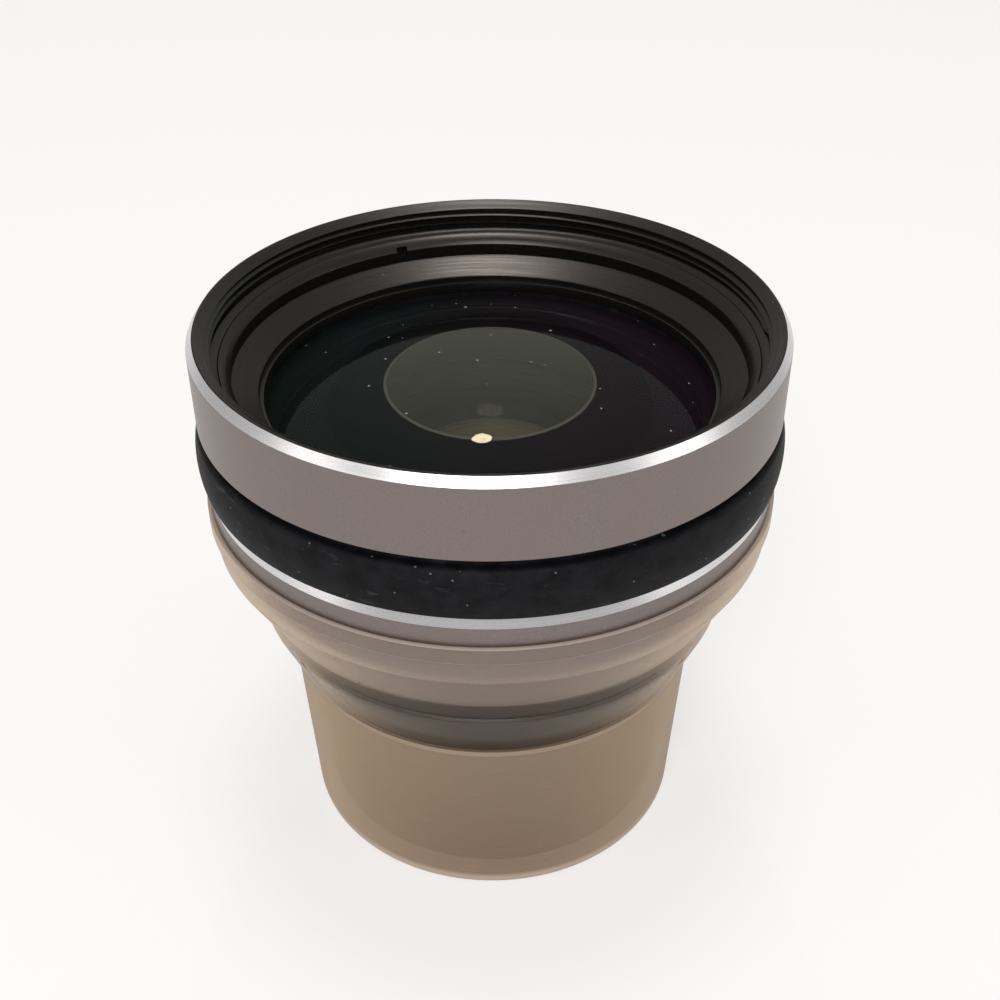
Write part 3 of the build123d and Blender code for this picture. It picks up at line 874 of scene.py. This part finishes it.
spannerRing = {
    "name": "spannerRing", "steps": 320,
    "profile": [(24.0, 50.0), (24.95, 50.0), (24.95, 52.05), (24.35, 51.55), (24.0, 51.15)],
    "rounds": [(24.95, 52.05, 0.05, 2), (24.35, 51.55, 0.08, 2), (24.0, 51.15, 0.08, 2)],
    "litHeights": (51.2, 52.1), "litRadii": (24.0, 25.0), "litUp": (0.4, 0.99),
    "notch": {
        "angles": (113, 293), "width": 1.15, "length": 1.4, "radius": 24.1, "height": 51.55,
        "depth": 1.0,
    },
}
coneRing = {
    "name": "coneRing", "steps": 320,
    "profile": [(21.6, 48.05), (24.95, 48.05), (24.95, 49.98), (24.0, 49.98), (21.6, 48.60)],
    "rounds": [(24.0, 49.98, 0.06, 2), (21.6, 48.60, 0.10, 3)],
    "litHeights": (48.5, 50.1), "litRadii": (21.5, 24.02), "litUp": (0.5, 0.98),
}
glassRing = {
    "name": "glassRetainingRing", "steps": 320,
    "profile": [(21.2, 47.03), (24.95, 47.03), (24.95, 48.03), (21.2, 48.03)],
    "rounds": [(21.2, 48.03, 0.12, 2)],
}
cushion = {
    "name": "cushionRing", "steps": 240,
    "profile": [(21.5, 46.39), (22.7, 45.93), (22.7, 47.01), (21.5, 47.01)],
    "rounds": [(21.5, 47.01, 0.12, 2)],
}


def turnRing(settings):
    ring = turnPiece(settings["name"], settings["profile"], settings["steps"])
    roundRings(ring, settings["rounds"])
    return ring


def cutNotch(ring, notch, angle):
    deselectAll()
    bpy.ops.mesh.primitive_cube_add(size=1)
    tool = bpy.context.object
    tool.scale = (notch["length"] * mm, notch["width"] * mm, notch["depth"] * mm)
    middle = notch["height"] - notch["depth"] / 2
    tool.location = Vector((notch["radius"] * mm, 0, middle * mm))
    bpy.ops.object.transform_apply(location=True, rotation=True, scale=True)
    tool.rotation_euler.z = radians(angle)
    bpy.ops.object.transform_apply(location=True, rotation=True, scale=True)
    pickOnly(ring)
    cut = ring.modifiers.new("cut", "BOOLEAN")
    cut.operation = "DIFFERENCE"
    cut.solver = "EXACT"
    cut.object = tool
    bpy.ops.object.modifier_apply(modifier="cut")
    bpy.data.objects.remove(tool)


def lightSlope(ring, settings):
    giveFaces(ring, "coneBlack", settings["litHeights"], settings["litRadii"],
              settings["litUp"])


def makeFrontRings():
    spanner = turnRing(spannerRing)
    notch = spannerRing["notch"]
    for angle in notch["angles"]:
        cutNotch(spanner, notch, angle)
    finishPiece(spanner, "lens", "black_anodised", finishes["black"], "spanner_ring")
    lightSlope(spanner, spannerRing)
    cone = turnRing(coneRing)
    finishPiece(cone, "lens", "black_anodised", finishes["black"], "cone_ring")
    lightSlope(cone, coneRing)
    thin = turnRing(glassRing)
    finishPiece(thin, "lens", "black_anodised", finishes["black"], "glass_retaining_ring")
    soft = turnRing(cushion)
    finishPiece(soft, "lens", "cushion_rubber", finishes["rubber"], "cushion_ring")


makeFrontRings()
print("front rings made")


# front glass, painted black on its edge and on the hollow outside its clear middle, with a ring of
# painted highlight round that middle and a painted glow inside it

frontGlass = {
    "reach": 23.0, "tiny": 0.3, "front": 62.0, "crown": 50.22, "rear": 21.0,
    "rearVertex": 48.02, "rearFace": 42.20, "hollow": 14.52, "steps": 200,
    "frontSteps": 64, "rearSteps": 56, "smoothAngle": 25,
    "paintHeights": (42.1, 45.5), "paintRadii": (14.6, 23.1),
    "hollowHeights": (42.1, 48.0), "clearHeights": (42.1, 48.1), "clear": 9.6,
    "clearLine": 0.26,
}


def makeFrontGlass(settings):
    tiny, hollow = settings["tiny"], settings["hollow"]
    profile = domePoints(settings["crown"], settings["front"], tiny, settings["reach"],
                         settings["frontSteps"], -1)
    profile += [(settings["reach"], settings["rearFace"])]
    profile += domePoints(settings["rearVertex"], settings["rear"], hollow, tiny,
                          settings["rearSteps"], -1)
    glass = turnPiece("frontGlass", profile, settings["steps"], onAxis=True)
    finishPiece(glass, "lens", "front_glass", finishes["frontGlass"], "front_element",
                smoothAngle=settings["smoothAngle"])
    clear, paintRadii = settings["clear"], settings["paintRadii"]
    line = clear - settings["clearLine"]
    giveFaces(glass, "edgePaint", settings["paintHeights"], paintRadii)
    giveFaces(glass, "edgePaint", settings["hollowHeights"], (clear, paintRadii[0]))
    # a thin ring of painted highlight round the clear middle
    giveFaces(glass, "groundEdge", settings["hollowHeights"], (line, clear))
    # painted glow over the clear middle
    giveFaces(glass, "hazyHollow", settings["clearHeights"], (0, line))


makeFrontGlass(frontGlass)
print("front glass made")


# pieces kept as they come from the CAD model

keptPieces = {
    "baffle": ("inner_baffle", "stop_plate", "rear_retaining_ring", "front_shim"),
    "blackSatin": ("cell_screws", "lock_screws"),
}


def dressNode(node, material):
    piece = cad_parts[node]
    piece.data.materials.clear()
    piece.data.materials.append(material)


for finish, nodes in keptPieces.items():
    for node in nodes:
        dressNode(node, finishes[finish])
print("inner pieces dressed")


# floor and light

stageSettings = {
    "floorSize": 8, "floorColor": (0.86, 0.855, 0.85), "floorTone": (0.84, 0.83, 0.82),
    "toneScale": 3.0, "toneShare": 0.3, "floorRoughness": 0.7, "floorSpecular": 0.2,
    "whiteShare": 0.55, "worldColor": (0.50, 0.49, 0.48), "aim": (0, 0, 0.04),
}
lamps = {
    "frontBox": {
        "place": (-0.12, -0.95, 0.85), "size": (0.55, 0.6), "power": 9.0,
        "color": (1.0, 0.97, 0.94), "shape": "RECTANGLE",
    },
    "overhead": {
        "place": (0.0, 0.10, 1.0), "size": (0.30, 0.22), "power": 2.3,
        "color": (1.0, 0.92, 0.84), "shape": "ELLIPSE",
    },
    "ceilingLamp": {
        "place": (-0.03, 0.62, 0.93), "size": (0.06, 0.05), "power": 0.42,
        "color": (1.0, 0.80, 0.58), "shape": "ELLIPSE",
    },
    "leftWindow": {
        "place": (-0.95, -0.45, 0.35), "size": (0.4, 0.5), "power": 1.2,
        "color": (1.0, 0.95, 0.90), "shape": "RECTANGLE",
    },
    "rightWindow": {
        "place": (0.95, -0.35, 0.35), "size": (0.4, 0.5), "power": 1.3,
        "color": (1.0, 0.95, 0.90), "shape": "RECTANGLE",
    },
}


def addLamp(name, lamp, target):
    deselectAll()
    place = Vector(lamp["place"])
    aim = (Vector(target) - place).to_track_quat("-Z", "Y")
    bpy.ops.object.light_add(type="AREA", location=place, rotation=aim.to_euler())
    light = bpy.context.object
    light.name = name
    light.data.shape = lamp["shape"]
    light.data.size, light.data.size_y = lamp["size"]
    light.data.energy = lamp["power"]
    light.data.color = lamp["color"]


def makeFloor(settings):
    # the floor looks nearly white where it is seen, and keeps its shadow
    deselectAll()
    bpy.ops.mesh.primitive_plane_add(size=settings["floorSize"], location=(0, 0, 0))
    floor = bpy.context.object
    floor.name = "floor"
    material, tree, out = newMaterial("paleFloor")
    tone = noiseAt(tree, objectPoint(tree), settings["toneScale"])
    tone = spread(tree, tone, *noiseSpan, 0, settings["toneShare"])
    color = blendColors(tree, tone, settings["floorColor"], settings["floorTone"])
    paint = addNode(tree, "ShaderNodeBsdfPrincipled", Base_Color=color,
                    Roughness=settings["floorRoughness"])
    paint.inputs["Specular IOR Level"].default_value = settings["floorSpecular"]
    white = addNode(tree, "ShaderNodeEmission", Color=(1, 1, 1, 1), Strength=1.0)
    path = addNode(tree, "ShaderNodeLightPath").outputs
    seen = calculate(tree, "MAXIMUM", path["Is Camera Ray"], path["Is Glossy Ray"])
    seen = calculate(tree, "MAXIMUM", seen, path["Is Transmission Ray"])
    share = calculate(tree, "MULTIPLY", seen, settings["whiteShare"])
    mixed = mixShaders(tree, share, paint.outputs[0], white.outputs[0])
    tree.links.new(mixed, out.inputs[0])
    floor.data.materials.append(material)


def setWorld(color):
    world = bpy.context.scene.world or bpy.data.worlds.new("world")
    bpy.context.scene.world = world
    world.use_nodes = True
    tree = world.node_tree
    tree.nodes.clear()
    sky = addNode(tree, "ShaderNodeBackground", Color=(*color, 1), Strength=1.0)
    out = tree.nodes.new("ShaderNodeOutputWorld")
    tree.links.new(sky.outputs[0], out.inputs[0])


makeFloor(stageSettings)
setWorld(stageSettings["worldColor"])
for lampName, lamp in lamps.items():
    addLamp(lampName, lamp, stageSettings["aim"])
bpy.context.scene.view_settings.view_transform = "Standard"
print("floor and light set")
